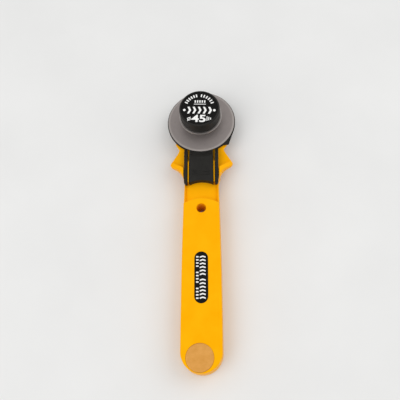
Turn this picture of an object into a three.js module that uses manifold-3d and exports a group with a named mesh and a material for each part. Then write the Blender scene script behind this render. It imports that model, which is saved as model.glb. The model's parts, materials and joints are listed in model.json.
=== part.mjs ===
// Straight-handled rotary cutter with a 45 mm blade, modelled in millimetres.
// X runs across the handle, +Y points from the grip to the head, +Z faces the knob side.
// The cutter lies on its back: z = 0 is the back of the grip and of the rear nut.
import * as THREE from 'three';
import { mergeVertices } from 'three/addons/utils/BufferGeometryUtils.js';
import Module from 'manifold-3d';

const wasm = await Module();
wasm.setup();

// Driving dimensions, mm.
const LENGTH = 188;
const CLEARANCE = 0.3;
const ARC_STEPS = 10;

const BLADE_RADIUS = 22.5;
const BLADE_THICKNESS = 0.3;
const BLADE_BEVEL = 1.3;
const BLADE_BORE = 5;
const BLADE_Z = 12.6;

const GUARD_RADIUS = 23;
const GUARD_Z = [10.6, 12.3];
const GUARD_TRAVEL = 10.5;
// The lug at the guard's lower right: the directions, in degrees, that it spans, and its tip from the centre.
const LUG_SPAN = [-17, -50];
const LUG_TIP = [18.3, -17.4];
const HEAD_Y = LENGTH / 2 - GUARD_RADIUS;

const GRIP_THICKNESS = 14;
const GRIP_HALF_WIDTH = 12.5;
const NECK_HALF_WIDTH = 11.1;
const NECK_Y = 25;
const SHELL_SPLIT = 4.8;
const COVER_TOP = SHELL_SPLIT - CLEARANCE;
// The slider's track: a floor between two low lips, and wider above the lips.
const TRACK_FLOOR_Z = 10.3;
const FLOOR_HALF_WIDTH = 10.4;
const LIP_TOP_Z = 11.9;
const TRACK_HALF_WIDTH = 11.65;
const TRACK_OPEN_Y = 24;
const STEP_APEX_Y = 14.5;
const STEP_RADIUS = 21;
// The line that ends the wings' raised part starts at FOLD_Y and rises outwards.
const FOLD_Y = 36.5;
const FOLD_RISE = 0.68;
// Below that line the wings' top falls outwards from WING_TOP's first [x, z] point to its second.
const WING_TOP = [[12, 14], [20.9, 10.4]];
// The wings' underside, and how far from the middle it starts.
const WING_BACK = 8;
const WING_INNER = 12.2;
const WALL = 2.2;
const SKIN = 2.4;
const RIB = 1.6;
const CROSS_RIB_Y = [-86, -52, -26];

const SLIDER_APEX_Y = 26.6;
const SLIDER_ARCH_RADIUS = 18;
const SLIDER_END_Y = 24.1;
const SLIDER_TOP = 15;
const FOOT_HALF_WIDTH = FLOOR_HALF_WIDTH - CLEARANCE;
const FLANGE_HALF_WIDTH = TRACK_HALF_WIDTH - 0.35;
// Each level of the slider: its half width, how far from the blade's centre it stops, and its bottom and top.
const SLIDER_LEVELS = [
  [FOOT_HALF_WIDTH, GUARD_RADIUS - 3, GUARD_Z[0], LIP_TOP_Z + 0.4],
  [FLANGE_HALF_WIDTH, BLADE_RADIUS + 1.2, LIP_TOP_Z + CLEARANCE, 13.4],
  [FLANGE_HALF_WIDTH, BLADE_RADIUS + 4.2, 13, SLIDER_TOP],
];
const SLOT_X = 8.5;
const SLOT_WIDTH = 1.4;
const SLOT_Y = [20, 54.6];
// The thumb ridges curve round the blade's centre, at these outer radii.
const THUMB_RIDGE_REACH = [38.7, 40.8];
const RIDGE_HALF_WIDTH = 5.5;
const RIDGE_WIDTH = 1;
const RIDGE_HEIGHT = 0.4;
const GUIDE_RIB_WIDTH = 0.7;
const GUIDE_RIB_Y = [25.8, 40.8];

const TANG_RADIUS = 10.5;
const TANG_BACK = 7;
const HANG_HOLE_Y = 7.8;
const HANG_HOLE_RADIUS = 3;

const SHANK_RADIUS = 3;
const SHANK_FLAT = 2.4;
const SHANK_END = 1.2;
const HUB_RADIUS = 8.5;
const HUB_Z = [13.2, 20];
const FLANGE_RADIUS = 14.2;
const FLANGE_TOP = 21.3;
const BOSS_RADIUS = 5;
const BOSS_TOP = 25.6;
const KNOB_RADIUS = 13.3;
const KNOB_Z = [21.6, 30.7];
const KNOB_DISC_RADIUS = 12;

const REAR_WASHER_Z = [5, 5.6];
const REAR_WASHER_RADIUS = 8;
const WAVE_Z = [5.95, 6.3];
const WAVE_LIFT = 0.36;
const WAVE_RADII = [3.4, 7.5];
const NUT_RADIUS = 9.5;
const NUT_TOP = 4.7;
const NUT_HEX = 5.8;
const NUT_SCALLOPS = 14;
const SCALLOP_RADIUS = 1.1;

const LABEL_HALF_WIDTH = 4.4;
const LABEL_Y = [-53.6, -21];
const BADGE_RADIUS = 8.6;
const BADGE_X = -0.9;
const BADGE_Y = -85;
const INLAY_DEPTH = 0.8;
// The inlays' bottom and top: a little above the floor they lie on, and just proud of the grip.
const INLAY_Z = [GRIP_THICKNESS - INLAY_DEPTH + 0.2, GRIP_THICKNESS + 0.1];
const PEG_Y = [-68, -10];
const PEG_RADIUS = 2;

// Colours and surface finish of each material.
const YELLOW = new THREE.MeshStandardMaterial({ color: 0xfbae07, roughness: 0.42, metalness: 0 });
const BLACK = new THREE.MeshStandardMaterial({ color: 0x292723, roughness: 0.55, metalness: 0 });
const INK_BLACK = new THREE.MeshStandardMaterial({ color: 0x171514, roughness: 0.4, metalness: 0 });
const BLADE_STEEL = new THREE.MeshStandardMaterial({ color: 0x84807c, roughness: 0.38, metalness: 1 });
const BOLT_STEEL = new THREE.MeshStandardMaterial({ color: 0xa5a29e, roughness: 0.3, metalness: 1 });
const TAN_METAL = new THREE.MeshStandardMaterial({ color: 0xda9c4a, roughness: 0.45, metalness: 0.6 });
const ACETAL = new THREE.MeshStandardMaterial({ color: 0xe8e4da, roughness: 0.5, metalness: 0 });

// A closed solid for cutting and joining, from a three.js geometry.
function solid(geometry) {
  const bare = geometry.clone();
  bare.deleteAttribute('normal');
  bare.deleteAttribute('uv');
  const merged = mergeVertices(bare, 1e-4);
  const index = Array.from(merged.index.array);
  const faces = [];
  for (let i = 0; i < index.length; i += 3) {
    const [a, b, c] = index.slice(i, i + 3);
    if (a !== b && b !== c && c !== a) faces.push(a, b, c);
  }
  const vertProperties = new Float32Array(merged.attributes.position.array);
  return new wasm.Manifold(new wasm.Mesh({ numProp: 3, vertProperties, triVerts: new Uint32Array(faces) }));
}

// A three.js geometry from a solid.
function geometryOf(body) {
  const mesh = body.getMesh();
  const geometry = new THREE.BufferGeometry();
  geometry.setAttribute('position', new THREE.BufferAttribute(new Float32Array(mesh.vertProperties), 3));
  geometry.setIndex(new THREE.BufferAttribute(new Uint32Array(mesh.triVerts), 1));
  geometry.computeVertexNormals();
  return geometry;
}

// A flat outline pulled up from low to high.
function plate(shape, low, high, steps = ARC_STEPS) {
  const settings = { depth: high - low, bevelEnabled: false, curveSegments: steps };
  return solid(new THREE.ExtrudeGeometry(shape, settings).translate(0, 0, low));
}

// A profile of [radius, z] points turned about the vertical line through (0, y).
function turned(profile, y, segments = 48) {
  const points = profile.map(([radius, z]) => new THREE.Vector2(radius, z));
  return solid(new THREE.LatheGeometry(points, segments).rotateX(Math.PI / 2).translate(0, y, 0));
}

function drum(radius, low, high, y, segments = 48) {
  return turned([[0, low], [radius, low], [radius, high], [0, high]], y, segments);
}

function ring(inner, outer, low, high, y, segments = 48) {
  return turned([[inner, low], [outer, low], [outer, high], [inner, high], [inner, low]], y, segments);
}

function block(x, y, z) {
  const geometry = new THREE.BoxGeometry(x[1] - x[0], y[1] - y[0], z[1] - z[0]);
  return solid(geometry.translate((x[0] + x[1]) / 2, (y[0] + y[1]) / 2, (z[0] + z[1]) / 2));
}

// A wedge with a (y, z) outline that spans the whole width.
function wedge(outline, halfWidth = 30) {
  const shape = new THREE.Shape(outline.map(([y, z]) => new THREE.Vector2(y, z)));
  const geometry = new THREE.ExtrudeGeometry(shape, { depth: 2 * halfWidth, bevelEnabled: false });
  const axes = new THREE.Matrix4().makeBasis(
    new THREE.Vector3(0, 1, 0), new THREE.Vector3(0, 0, 1), new THREE.Vector3(1, 0, 0));
  return solid(geometry.applyMatrix4(axes).translate(-halfWidth, 0, 0));
}

function pill(x, y, halfWidth) {
  const shape = new THREE.Shape();
  shape.absarc(x, y[1] - halfWidth, halfWidth, 0, Math.PI, false);
  shape.absarc(x, y[0] + halfWidth, halfWidth, Math.PI, 2 * Math.PI, false);
  shape.closePath();
  return shape;
}

// Half of the handle's outline, from the middle of the round end to the middle of the tang.
// inset moves the grip and neck inwards, for the hollow inside.
function gripSide(path, side, inset) {
  const end = GRIP_HALF_WIDTH - inset;
  path.bezierCurveTo(side * end, -60, side * (end - 0.1), -15, side * (NECK_HALF_WIDTH - inset), NECK_Y);
}

function gripOutline(inset, top) {
  const radius = GRIP_HALF_WIDTH - inset;
  const centre = -LENGTH / 2 + GRIP_HALF_WIDTH;
  const shape = new THREE.Shape();
  shape.absarc(0, centre, radius, Math.PI, 2 * Math.PI, false);
  gripSide(shape, 1, inset);
  shape.lineTo(NECK_HALF_WIDTH - inset, top);
  shape.lineTo(-NECK_HALF_WIDTH + inset, top);
  shape.lineTo(-NECK_HALF_WIDTH + inset, NECK_Y);
  shape.bezierCurveTo(-radius + 0.1, -15, -radius, -60, -radius, centre);
  return shape;
}

// The hollow inside a shell, with its stiffening ribs, peg bosses and hang-hole tube left standing.
function hollowInside(low, high) {
  let hollow = plate(gripOutline(WALL, 9.5), low, high, 8);
  const tall = [low - 1, high + 1];
  hollow = hollow.subtract(block([-RIB / 2, RIB / 2], [-LENGTH / 2, NECK_Y], tall));
  CROSS_RIB_Y.forEach((y) => {
    hollow = hollow.subtract(block([-GRIP_HALF_WIDTH, GRIP_HALF_WIDTH], [y - RIB / 2, y + RIB / 2], tall));
  });
  PEG_Y.forEach((y) => {
    hollow = hollow.subtract(drum(PEG_RADIUS + WALL, ...tall, y, 24));
  });
  return hollow.subtract(drum(HANG_HOLE_RADIUS + WALL, ...tall, HANG_HOLE_Y, 32));
}

// The corners of one finger wing and of the horn that follows the guard, right-hand side.
const WING = [[16.4, 36.3], [19.8, 38.2], [20.9, 40], [19.5, 42.5], [16, 48.2], [14.8, 50.9], [17.8, 55.6]];
const WING_FILLET = [[11.5, 30.5], [13.4, 34.2]];
const TANG_SIDE = [[13.5, 58.5], [10.9, 64]];

function handleOutline() {
  const shape = new THREE.Shape();
  shape.absarc(0, -LENGTH / 2 + GRIP_HALF_WIDTH, GRIP_HALF_WIDTH, Math.PI, 2 * Math.PI, false);
  gripSide(shape, 1, 0);
  shape.bezierCurveTo(...WING_FILLET[0], ...WING_FILLET[1], ...WING[0]);
  [...WING.slice(1), ...TANG_SIDE].forEach(([x, y]) => shape.lineTo(x, y));
  shape.absarc(0, HEAD_Y, TANG_RADIUS, 0, Math.PI, false);
  [...TANG_SIDE].reverse().forEach(([x, y]) => shape.lineTo(-x, y));
  [...WING].reverse().forEach(([x, y]) => shape.lineTo(-x, y));
  const [near, far] = WING_FILLET;
  shape.bezierCurveTo(-far[0], far[1], -near[0], near[1], -NECK_HALF_WIDTH, NECK_Y);
  const radius = GRIP_HALF_WIDTH;
  shape.bezierCurveTo(-radius + 0.1, -15, -radius, -60, -radius, -LENGTH / 2 + GRIP_HALF_WIDTH);
  return shape;
}

// Adds an arched edge from left to right, with its apex on the middle line.
function arch(shape, apex, halfWidth, radius) {
  const half = Math.asin(halfWidth / radius);
  const middle = Math.PI / 2;
  shape.absarc(0, apex - radius, radius, middle + half, middle - half, true);
}

// The lowered track that the slider and the guard run in, up past the end of the tang.
// It starts at the arched step, below TRACK_OPEN_Y it is startWidth wide each way, and above that halfWidth.
function trackOutline(startWidth, halfWidth) {
  const beyond = 40;
  const past = LENGTH / 2 + 10;
  const foldEnd = FOLD_Y + (beyond - halfWidth) * FOLD_RISE;
  const shape = new THREE.Shape();
  arch(shape, STEP_APEX_Y, startWidth, STEP_RADIUS);
  shape.lineTo(startWidth, TRACK_OPEN_Y);
  shape.lineTo(halfWidth, TRACK_OPEN_Y);
  shape.lineTo(halfWidth, FOLD_Y);
  shape.lineTo(beyond, foldEnd);
  shape.lineTo(beyond, past);
  shape.lineTo(-beyond, past);
  shape.lineTo(-beyond, foldEnd);
  shape.lineTo(-halfWidth, FOLD_Y);
  shape.lineTo(-halfWidth, TRACK_OPEN_Y);
  shape.lineTo(-startWidth, TRACK_OPEN_Y);
  shape.closePath();
  return shape;
}

// A round bar with two flats, for the bolt and its keyed hole.
function doubleFlat(radius, flat, low, high) {
  const bar = drum(radius, low, high, HEAD_Y, 32);
  return bar.intersect(block([-flat, flat], [HEAD_Y - radius - 1, HEAD_Y + radius + 1], [low - 1, high + 1]));
}

// What the wings' sloping top and raised underside leave out, on both sides.
function wingCuts() {
  const [[x, z], [farX, farZ]] = WING_TOP;
  const outside = farX + 20;
  const fall = (farZ - z) / (farX - x);
  const shape = new THREE.Shape();
  shape.moveTo(x, z);
  shape.lineTo(outside, z + (outside - x) * fall);
  shape.lineTo(outside, z + 10);
  shape.lineTo(x, z + 10);
  const length = HEAD_Y - NECK_Y;
  const slope = new THREE.ExtrudeGeometry(shape, { depth: length, bevelEnabled: false });
  const right = solid(slope.rotateX(Math.PI / 2).translate(0, HEAD_Y, 0));
  const below = block([WING_INNER, outside], [NECK_Y, HEAD_Y], [-1, WING_BACK]);
  const cuts = right.add(below);
  return cuts.add(cuts.mirror([1, 0, 0]));
}

function handleFrontShell() {
  let body = plate(handleOutline(), SHELL_SPLIT, GRIP_THICKNESS, 14);
  const above = GRIP_THICKNESS + 1;
  body = body.subtract(plate(trackOutline(GRIP_HALF_WIDTH, TRACK_HALF_WIDTH), LIP_TOP_Z, above, 14));
  body = body.subtract(plate(trackOutline(FLOOR_HALF_WIDTH, FLOOR_HALF_WIDTH), TRACK_FLOOR_Z, above, 14));
  body = body.subtract(wedge([[44, 0], [44, SHELL_SPLIT], [54, TANG_BACK], [110, TANG_BACK], [110, 0]]));
  body = body.subtract(wingCuts());

  body = body.subtract(hollowInside(SHELL_SPLIT - 1, GRIP_THICKNESS - SKIN));
  PEG_Y.forEach((y) => {
    body = body.subtract(drum(PEG_RADIUS + CLEARANCE, SHELL_SPLIT - 1, GRIP_THICKNESS - SKIN - 1, y, 24));
  });

  [-1, 1].forEach((side) => {
    const x = [side * SLOT_X - GUIDE_RIB_WIDTH / 2, side * SLOT_X + GUIDE_RIB_WIDTH / 2];
    body = body.add(block(x, GUIDE_RIB_Y, [TRACK_FLOOR_Z - 0.5, SLIDER_TOP - 0.8]));
  });
  const inlayFloor = GRIP_THICKNESS - INLAY_DEPTH;
  body = body.subtract(drum(HANG_HOLE_RADIUS, 0, 20, HANG_HOLE_Y, 32));
  body = body.subtract(doubleFlat(SHANK_RADIUS + CLEARANCE, SHANK_FLAT + CLEARANCE, 0, 20));
  body = body.subtract(plate(pill(0, LABEL_Y, LABEL_HALF_WIDTH), inlayFloor, 20, 12));
  return body.subtract(drum(BADGE_RADIUS, inlayFloor, 20, BADGE_Y, 40).translate(BADGE_X, 0, 0));
}

function handleRearCover() {
  const frontEnd = 30;
  let body = plate(gripOutline(0, frontEnd), 0, COVER_TOP, 14);
  body = body.subtract(wedge([[16, -1], [16, 0], [frontEnd + 1, COVER_TOP - 0.6], [frontEnd + 1, -1]]));
  body = body.subtract(hollowInside(WALL, COVER_TOP + 1));
  PEG_Y.forEach((y) => {
    body = body.add(drum(PEG_RADIUS, WALL - 0.5, COVER_TOP + 5, y, 24));
  });
  return body.subtract(drum(HANG_HOLE_RADIUS, -1, 10, HANG_HOLE_Y, 32));
}

function handleLabel() {
  const y = [LABEL_Y[0] + CLEARANCE, LABEL_Y[1] - CLEARANCE];
  return plate(pill(0, y, LABEL_HALF_WIDTH - CLEARANCE), ...INLAY_Z, 12);
}

function endBadge() {
  const [low, high] = INLAY_Z;
  const radius = BADGE_RADIUS - CLEARANCE;
  const chamfer = 0.3;
  const profile = [[0, low], [radius, low], [radius, high - chamfer], [radius - chamfer, high], [0, high]];
  return turned(profile, BADGE_Y, 40).translate(BADGE_X, 0, 0);
}

function guardDiscOutline() {
  const [from, to] = LUG_SPAN.map(THREE.MathUtils.degToRad);
  const shape = new THREE.Shape();
  shape.absarc(0, HEAD_Y, GUARD_RADIUS, from, to + 2 * Math.PI, false);
  shape.lineTo(LUG_TIP[0], HEAD_Y + LUG_TIP[1]);
  shape.closePath();
  return shape;
}

// The slider seen from above: rounded lower corners, an arched end between its rails, and a round end
// that follows the blade's edge at the distance reach from the blade's centre.
function sliderOutline(halfWidth, reach) {
  const cornerY = SLIDER_END_Y + 4.5;
  const cornerX = halfWidth - 1.4;
  const shape = new THREE.Shape();
  shape.moveTo(-halfWidth, cornerY);
  shape.quadraticCurveTo(-halfWidth, SLIDER_END_Y + 1, -cornerX, SLIDER_END_Y);
  shape.lineTo(-SLOT_X, SLIDER_END_Y);
  arch(shape, SLIDER_APEX_Y, SLOT_X - SLOT_WIDTH / 2, SLIDER_ARCH_RADIUS);
  shape.lineTo(SLOT_X, SLIDER_END_Y);
  shape.lineTo(cornerX, SLIDER_END_Y);
  shape.quadraticCurveTo(halfWidth, SLIDER_END_Y + 1, halfWidth, cornerY);
  const angle = Math.asin(halfWidth / reach);
  shape.absarc(0, HEAD_Y, reach, -Math.PI / 2 + angle, -Math.PI / 2 - angle, true);
  return shape;
}

function thumbRidge(reach) {
  const band = ring(reach - RIDGE_WIDTH, reach, SLIDER_TOP - 0.5, SLIDER_TOP + RIDGE_HEIGHT, HEAD_Y, 144);
  return band.intersect(block([-RIDGE_HALF_WIDTH, RIDGE_HALF_WIDTH], [SLIDER_END_Y, HEAD_Y], [0, 20]));
}

function bladeGuard() {
  let body = plate(guardDiscOutline(), ...GUARD_Z, 48);
  SLIDER_LEVELS.forEach(([halfWidth, reach, low, high]) => {
    body = body.add(plate(sliderOutline(halfWidth, reach), low, high, 12));
  });
  [-1, 1].forEach((side) => {
    const x = [side * SLOT_X - SLOT_WIDTH / 2, side * SLOT_X + SLOT_WIDTH / 2];
    body = body.subtract(block(x, SLOT_Y, [0, 20]));
  });
  THUMB_RIDGE_REACH.forEach((reach) => {
    body = body.add(thumbRidge(reach));
  });
  const radius = SHANK_RADIUS + 0.4;
  const slot = pill(0, [HEAD_Y - radius, HEAD_Y + GUARD_TRAVEL + radius], radius);
  return body.subtract(plate(slot, 0, 20, 16));
}

function blade() {
  const middle = BLADE_Z + BLADE_THICKNESS / 2;
  const high = BLADE_Z + BLADE_THICKNESS;
  const inner = BLADE_RADIUS - BLADE_BEVEL;
  return turned([
    [BLADE_BORE, BLADE_Z], [inner, BLADE_Z], [BLADE_RADIUS, middle - 0.02], [BLADE_RADIUS, middle + 0.02],
    [inner, high], [BLADE_BORE, high], [BLADE_BORE, BLADE_Z]], HEAD_Y, 72);
}

function bladeBush() {
  return ring(SHANK_RADIUS + CLEARANCE, BLADE_BORE - 0.06, BLADE_Z - 0.2, HUB_Z[0] - 0.15, HEAD_Y);
}

// The shank, with two flats where the tang holds it, the hub that clamps the blade, the flange under
// the knob, and the boss that the knob is pressed on.
function bolt() {
  const chamfer = 0.4;
  const body = turned([
    [0, SHANK_END], [SHANK_RADIUS - chamfer, SHANK_END], [SHANK_RADIUS, SHANK_END + chamfer],
    [SHANK_RADIUS, HUB_Z[0]], [HUB_RADIUS, HUB_Z[0]], [HUB_RADIUS, HUB_Z[1]],
    [FLANGE_RADIUS - chamfer, HUB_Z[1]], [FLANGE_RADIUS, HUB_Z[1] + chamfer],
    [FLANGE_RADIUS, FLANGE_TOP - chamfer], [FLANGE_RADIUS - chamfer, FLANGE_TOP],
    [BOSS_RADIUS, FLANGE_TOP], [BOSS_RADIUS, BOSS_TOP], [0, BOSS_TOP]], HEAD_Y);
  const round = [HEAD_Y - SHANK_RADIUS - 1, HEAD_Y + SHANK_RADIUS + 1];
  const flatsZ = [TANG_BACK - chamfer, TRACK_FLOOR_Z + chamfer];
  let flats = block([-SHANK_RADIUS - 1, SHANK_RADIUS + 1], round, flatsZ);
  flats = flats.subtract(block([-SHANK_FLAT, SHANK_FLAT], [round[0] - 1, round[1] + 1], [0, 20]));
  return body.subtract(flats);
}

// A round-shouldered cap with a let-in face and a bore for the bolt's boss.
function knobCap() {
  const [low, high] = KNOB_Z;
  const chamfer = 0.5;
  const rim = KNOB_DISC_RADIUS + CLEARANCE;
  const faceZ = high - 1;
  const bore = BOSS_RADIUS + CLEARANCE;
  const boreEnd = BOSS_TOP + CLEARANCE;
  const profile = [
    [bore, low], [KNOB_RADIUS - chamfer, low], [KNOB_RADIUS, low + chamfer], [KNOB_RADIUS, high - 1.3],
    [KNOB_RADIUS - 0.15, high - 0.6], [KNOB_RADIUS - 0.45, high - 0.15], [rim + 0.15, high], [rim, high - 0.2],
    [rim, faceZ], [0, faceZ], [0, boreEnd], [bore, boreEnd], [bore, low]];
  return turned(profile, HEAD_Y, 56);
}

// The slightly crowned disc in the cap's face.
function knobFaceDisc() {
  const radius = KNOB_DISC_RADIUS;
  const high = KNOB_Z[1];
  const low = high - 0.7;
  return turned([[0, low], [radius, low], [radius, high - 0.3], [7.5, high - 0.08], [0, high]], HEAD_Y);
}

function rearWasher() {
  return ring(SHANK_RADIUS + 0.4, REAR_WASHER_RADIUS, ...REAR_WASHER_Z, HEAD_Y, 40);
}

// A ring that rises and falls four times around its turn.
function waveWasher() {
  const [inner, outer] = WAVE_RADII;
  const [low, high] = WAVE_Z;
  const profile = [[inner, low], [outer, low], [outer, high], [inner, high], [inner, low]];
  const points = profile.map(([radius, z]) => new THREE.Vector2(radius, z));
  const geometry = new THREE.LatheGeometry(points, 48).rotateX(Math.PI / 2);
  const position = geometry.attributes.position;
  for (let i = 0; i < position.count; i += 1) {
    const angle = Math.atan2(position.getY(i), position.getX(i));
    position.setZ(i, position.getZ(i) + (WAVE_LIFT * (1 - Math.cos(4 * angle))) / 2);
  }
  return solid(geometry.translate(0, HEAD_Y, 0));
}

function nutInsert() {
  const body = drum(NUT_HEX, SHANK_END, NUT_TOP - 0.2, HEAD_Y, 6);
  return body.subtract(drum(SHANK_RADIUS + CLEARANCE, 0, 10, HEAD_Y, 32));
}

function nutCap() {
  const chamfer = 0.8;
  const profile = [
    [0, 0], [NUT_RADIUS - chamfer, 0], [NUT_RADIUS, chamfer], [NUT_RADIUS, NUT_TOP - 0.5],
    [NUT_RADIUS - 0.5, NUT_TOP], [0, NUT_TOP]];
  let body = turned(profile, HEAD_Y, 56);
  body = body.subtract(drum(NUT_HEX + 0.35, SHANK_END - CLEARANCE, 10, HEAD_Y, 6));
  const reach = NUT_RADIUS + 0.4;
  for (let i = 0; i < NUT_SCALLOPS; i += 1) {
    const angle = (2 * Math.PI * i) / NUT_SCALLOPS;
    const cutter = new THREE.CylinderGeometry(SCALLOP_RADIUS, SCALLOP_RADIUS, 20, 10).rotateX(Math.PI / 2);
    cutter.translate(reach * Math.cos(angle), HEAD_Y + reach * Math.sin(angle), 0);
    body = body.subtract(solid(cutter));
  }
  return body;
}

const group = new THREE.Group();

function addPart(name, body, material) {
  const mesh = new THREE.Mesh(geometryOf(body), material);
  mesh.name = name;
  group.add(mesh);
}

addPart('handle_front_shell', handleFrontShell(), YELLOW);
addPart('handle_rear_cover', handleRearCover(), YELLOW);
addPart('handle_label', handleLabel(), INK_BLACK);
addPart('end_badge', endBadge(), TAN_METAL);
addPart('blade_guard', bladeGuard(), BLACK);
addPart('blade', blade(), BLADE_STEEL);
addPart('blade_bush', bladeBush(), ACETAL);
addPart('bolt', bolt(), BOLT_STEEL);
addPart('knob_cap', knobCap(), BLACK);
addPart('knob_face_disc', knobFaceDisc(), INK_BLACK);
addPart('rear_washer', rearWasher(), BOLT_STEEL);
addPart('wave_washer', waveWasher(), BOLT_STEEL);
addPart('nut_insert', nutInsert(), BOLT_STEEL);
addPart('nut_cap', nutCap(), BLACK);

export default group;
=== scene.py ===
"""Looks of a straight-handled rotary cutter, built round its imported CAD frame. Lengths are in millimetres
until a mesh is made, and every mesh is made in the frame's own metres."""
import json
import math

import bmesh
import bpy
from mathutils import Matrix, Vector


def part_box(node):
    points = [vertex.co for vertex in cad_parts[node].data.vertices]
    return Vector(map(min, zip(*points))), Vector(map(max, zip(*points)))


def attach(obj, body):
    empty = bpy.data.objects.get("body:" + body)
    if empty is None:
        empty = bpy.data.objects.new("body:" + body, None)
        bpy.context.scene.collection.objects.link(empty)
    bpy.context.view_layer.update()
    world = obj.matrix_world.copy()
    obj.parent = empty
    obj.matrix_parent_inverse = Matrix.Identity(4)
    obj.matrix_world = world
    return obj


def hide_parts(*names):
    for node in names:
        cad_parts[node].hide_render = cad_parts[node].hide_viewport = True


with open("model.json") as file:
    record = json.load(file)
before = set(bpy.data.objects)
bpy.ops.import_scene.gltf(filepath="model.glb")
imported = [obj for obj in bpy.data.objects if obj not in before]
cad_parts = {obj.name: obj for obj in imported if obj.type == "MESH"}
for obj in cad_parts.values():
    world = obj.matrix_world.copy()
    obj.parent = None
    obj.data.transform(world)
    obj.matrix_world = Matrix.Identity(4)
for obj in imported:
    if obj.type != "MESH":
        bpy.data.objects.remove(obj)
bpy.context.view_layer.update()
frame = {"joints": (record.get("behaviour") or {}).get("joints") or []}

MM = 0.001


def box_mm(node):
    """Lowest and highest corner of a CAD node, in millimetres."""
    low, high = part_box(node)
    return low / MM, high / MM


# ---------------------------------------------------------------- driving sizes, from the frame
shell_low, shell_high = box_mm("handle_front_shell")
cover_low, cover_high = box_mm("handle_rear_cover")
guard_low, guard_high = box_mm("blade_guard")
blade_low, blade_high = box_mm("blade")
bush_low, bush_high = box_mm("blade_bush")
bolt_low, bolt_high = box_mm("bolt")
knob_low, knob_high = box_mm("knob_cap")
face_low, face_high = box_mm("knob_face_disc")
label_low, label_high = box_mm("handle_label")
badge_low, badge_high = box_mm("end_badge")
washer_low, washer_high = box_mm("rear_washer")
wave_low, wave_high = box_mm("wave_washer")
insert_low, insert_high = box_mm("nut_insert")
nut_low, nut_high = box_mm("nut_cap")

HEAD_Y = (blade_low.y + blade_high.y) / 2
GRIP_END_Y = shell_low.y
GRIP_HALF = cover_high.x
GRIP_TOP = label_high.z - 0.1
SPLIT_Z = shell_low.z
BLADE_RADIUS = blade_high.x
KNOB_RADIUS = knob_high.x
FACE_RADIUS = face_high.x

# Further out than any edge of the cutter, for cutting shapes.
FAR = 40

# Sizes that no box gives, as in the CAD.
CLEARANCE = 0.3
NECK_HALF = 11.1
NECK_Y = 25
EDGE_ROUND = 0.7
BEVEL = 1.3
WING_START = (16.4, 36.3)
WING_CORNERS = [(19.8, 38.2, 1.2), (20.9, 40.0, 1.0), (19.5, 42.5, 1.2), (16.0, 48.2, 2.0), (14.8, 50.9, 2.0),
                (17.8, 55.6, 1.0), (13.5, 58.5, 1.4), (10.9, 64.0, 2.0)]
WING_TOP_X = 12
WING_FALL = 0.4045
WING_BACK = 8
WING_INNER = 12.2
TANG_RADIUS = 10.5
TANG_BACK = 7
BACK_SLOPE_Y = (44, 54)
TRACK_FLOOR = 10.3
FLOOR_HALF = 10.4
LIP_TOP = 11.9
TRACK_HALF = 11.65
TRACK_OPEN_Y = 24
STEP_APEX = 14.5
STEP_RADIUS = 21
FOLD_Y = 36.5
FOLD_RISE = 0.68
HANG_HOLE_Y = 7.8
HANG_HOLE_RADIUS = 3
RIB_Y = (25.8, 40.8)
SLOT_X = 8.5
SLOT_HALF = 0.7
RIB_HALF = 0.35
INLAY_DEPTH = 0.8
KNOB_TURN = -3
GUARD_DISC_TOP = 12.3
SLIDER_TOP = 15.0
SLIDER_APEX = 26.6
SLIDER_ARCH = 18
SLIDER_END_Y = 24.1
RIDGE_REACH = (38.7, 40.8)
RIDGE_HALF = 5.5
RIDGE_WIDTH = 1
ARROW_Y = (35.4, 41.0)
ARROW_HALF = 2.0
FOOT_HALF = 10.1
FLANGE_HALF = 11.3
LUG_TIP = (18.3, -17.4)
LUG_SPAN = (-17, -50)
SHANK_RADIUS = 3
BOSS_RADIUS = 5
HUB_RADIUS = 8.5
HUB_Z = (13.2, 20)
FLANGE_TOP = 21.3


# ---------------------------------------------------------------- outlines: (x, y) lists, counter-clockwise
def arc(x, y, radius, start, stop, steps):
    """Points of an arc, angles in degrees."""
    angles = [math.radians(start + (stop - start) * i / steps) for i in range(steps + 1)]
    return [(x + radius * math.cos(a), y + radius * math.sin(a)) for a in angles]


def bezier(a, b, c, d, steps):
    """Points of a cubic curve after its first point."""
    points = []
    for i in range(1, steps + 1):
        t = i / steps
        u = 1 - t
        k = (u ** 3, 3 * u * u * t, 3 * u * t * t, t ** 3)
        points.append(tuple(k[0] * a[j] + k[1] * b[j] + k[2] * c[j] + k[3] * d[j] for j in (0, 1)))
    return points


def rounded(corners, steps=6, closed=True):
    """An outline through (x, y, radius) corners, each rounded by an arc-like curve."""
    count = len(corners)
    points = []
    for i, (x, y, radius) in enumerate(corners):
        if radius == 0 or (not closed and i in (0, count - 1)):
            points.append((x, y))
            continue
        here = Vector((x, y))
        before = Vector(corners[i - 1][:2]) - here
        after = Vector(corners[(i + 1) % count][:2]) - here
        half = before.angle(after) / 2
        reach = min(radius / math.tan(half), 0.46 * before.length, 0.46 * after.length)
        start = here + before.normalized() * reach
        end = here + after.normalized() * reach
        for k in range(steps + 1):
            t = k / steps
            p = start * (1 - t) ** 2 + here * 2 * t * (1 - t) + end * t * t
            points.append((p.x, p.y))
    return points


def mirrored(points):
    """The same points with x reversed, in the opposite order."""
    return [(-x, y) for x, y in reversed(points)]


def clean(points):
    """The outline without repeated points."""
    kept = []
    for p in points:
        if not kept or math.dist(p, kept[-1]) > 1e-4:
            kept.append(p)
    if math.dist(kept[0], kept[-1]) < 1e-4:
        kept.pop()
    return kept


def inset(points, distance):
    """The outline moved inwards by a distance, outwards where it is negative."""
    if distance == 0:
        return list(points)
    count = len(points)
    moved = []
    for i, (x, y) in enumerate(points):
        before = Vector((x, y)) - Vector(points[i - 1])
        after = Vector(points[(i + 1) % count]) - Vector((x, y))
        normals = [Vector((-d.y, d.x)).normalized() for d in (before, after)]
        middle = normals[0] + normals[1]
        middle = middle / max(middle.length_squared / 2, 0.4)
        moved.append((x + middle.x * distance, y + middle.y * distance))
    return moved


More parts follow.
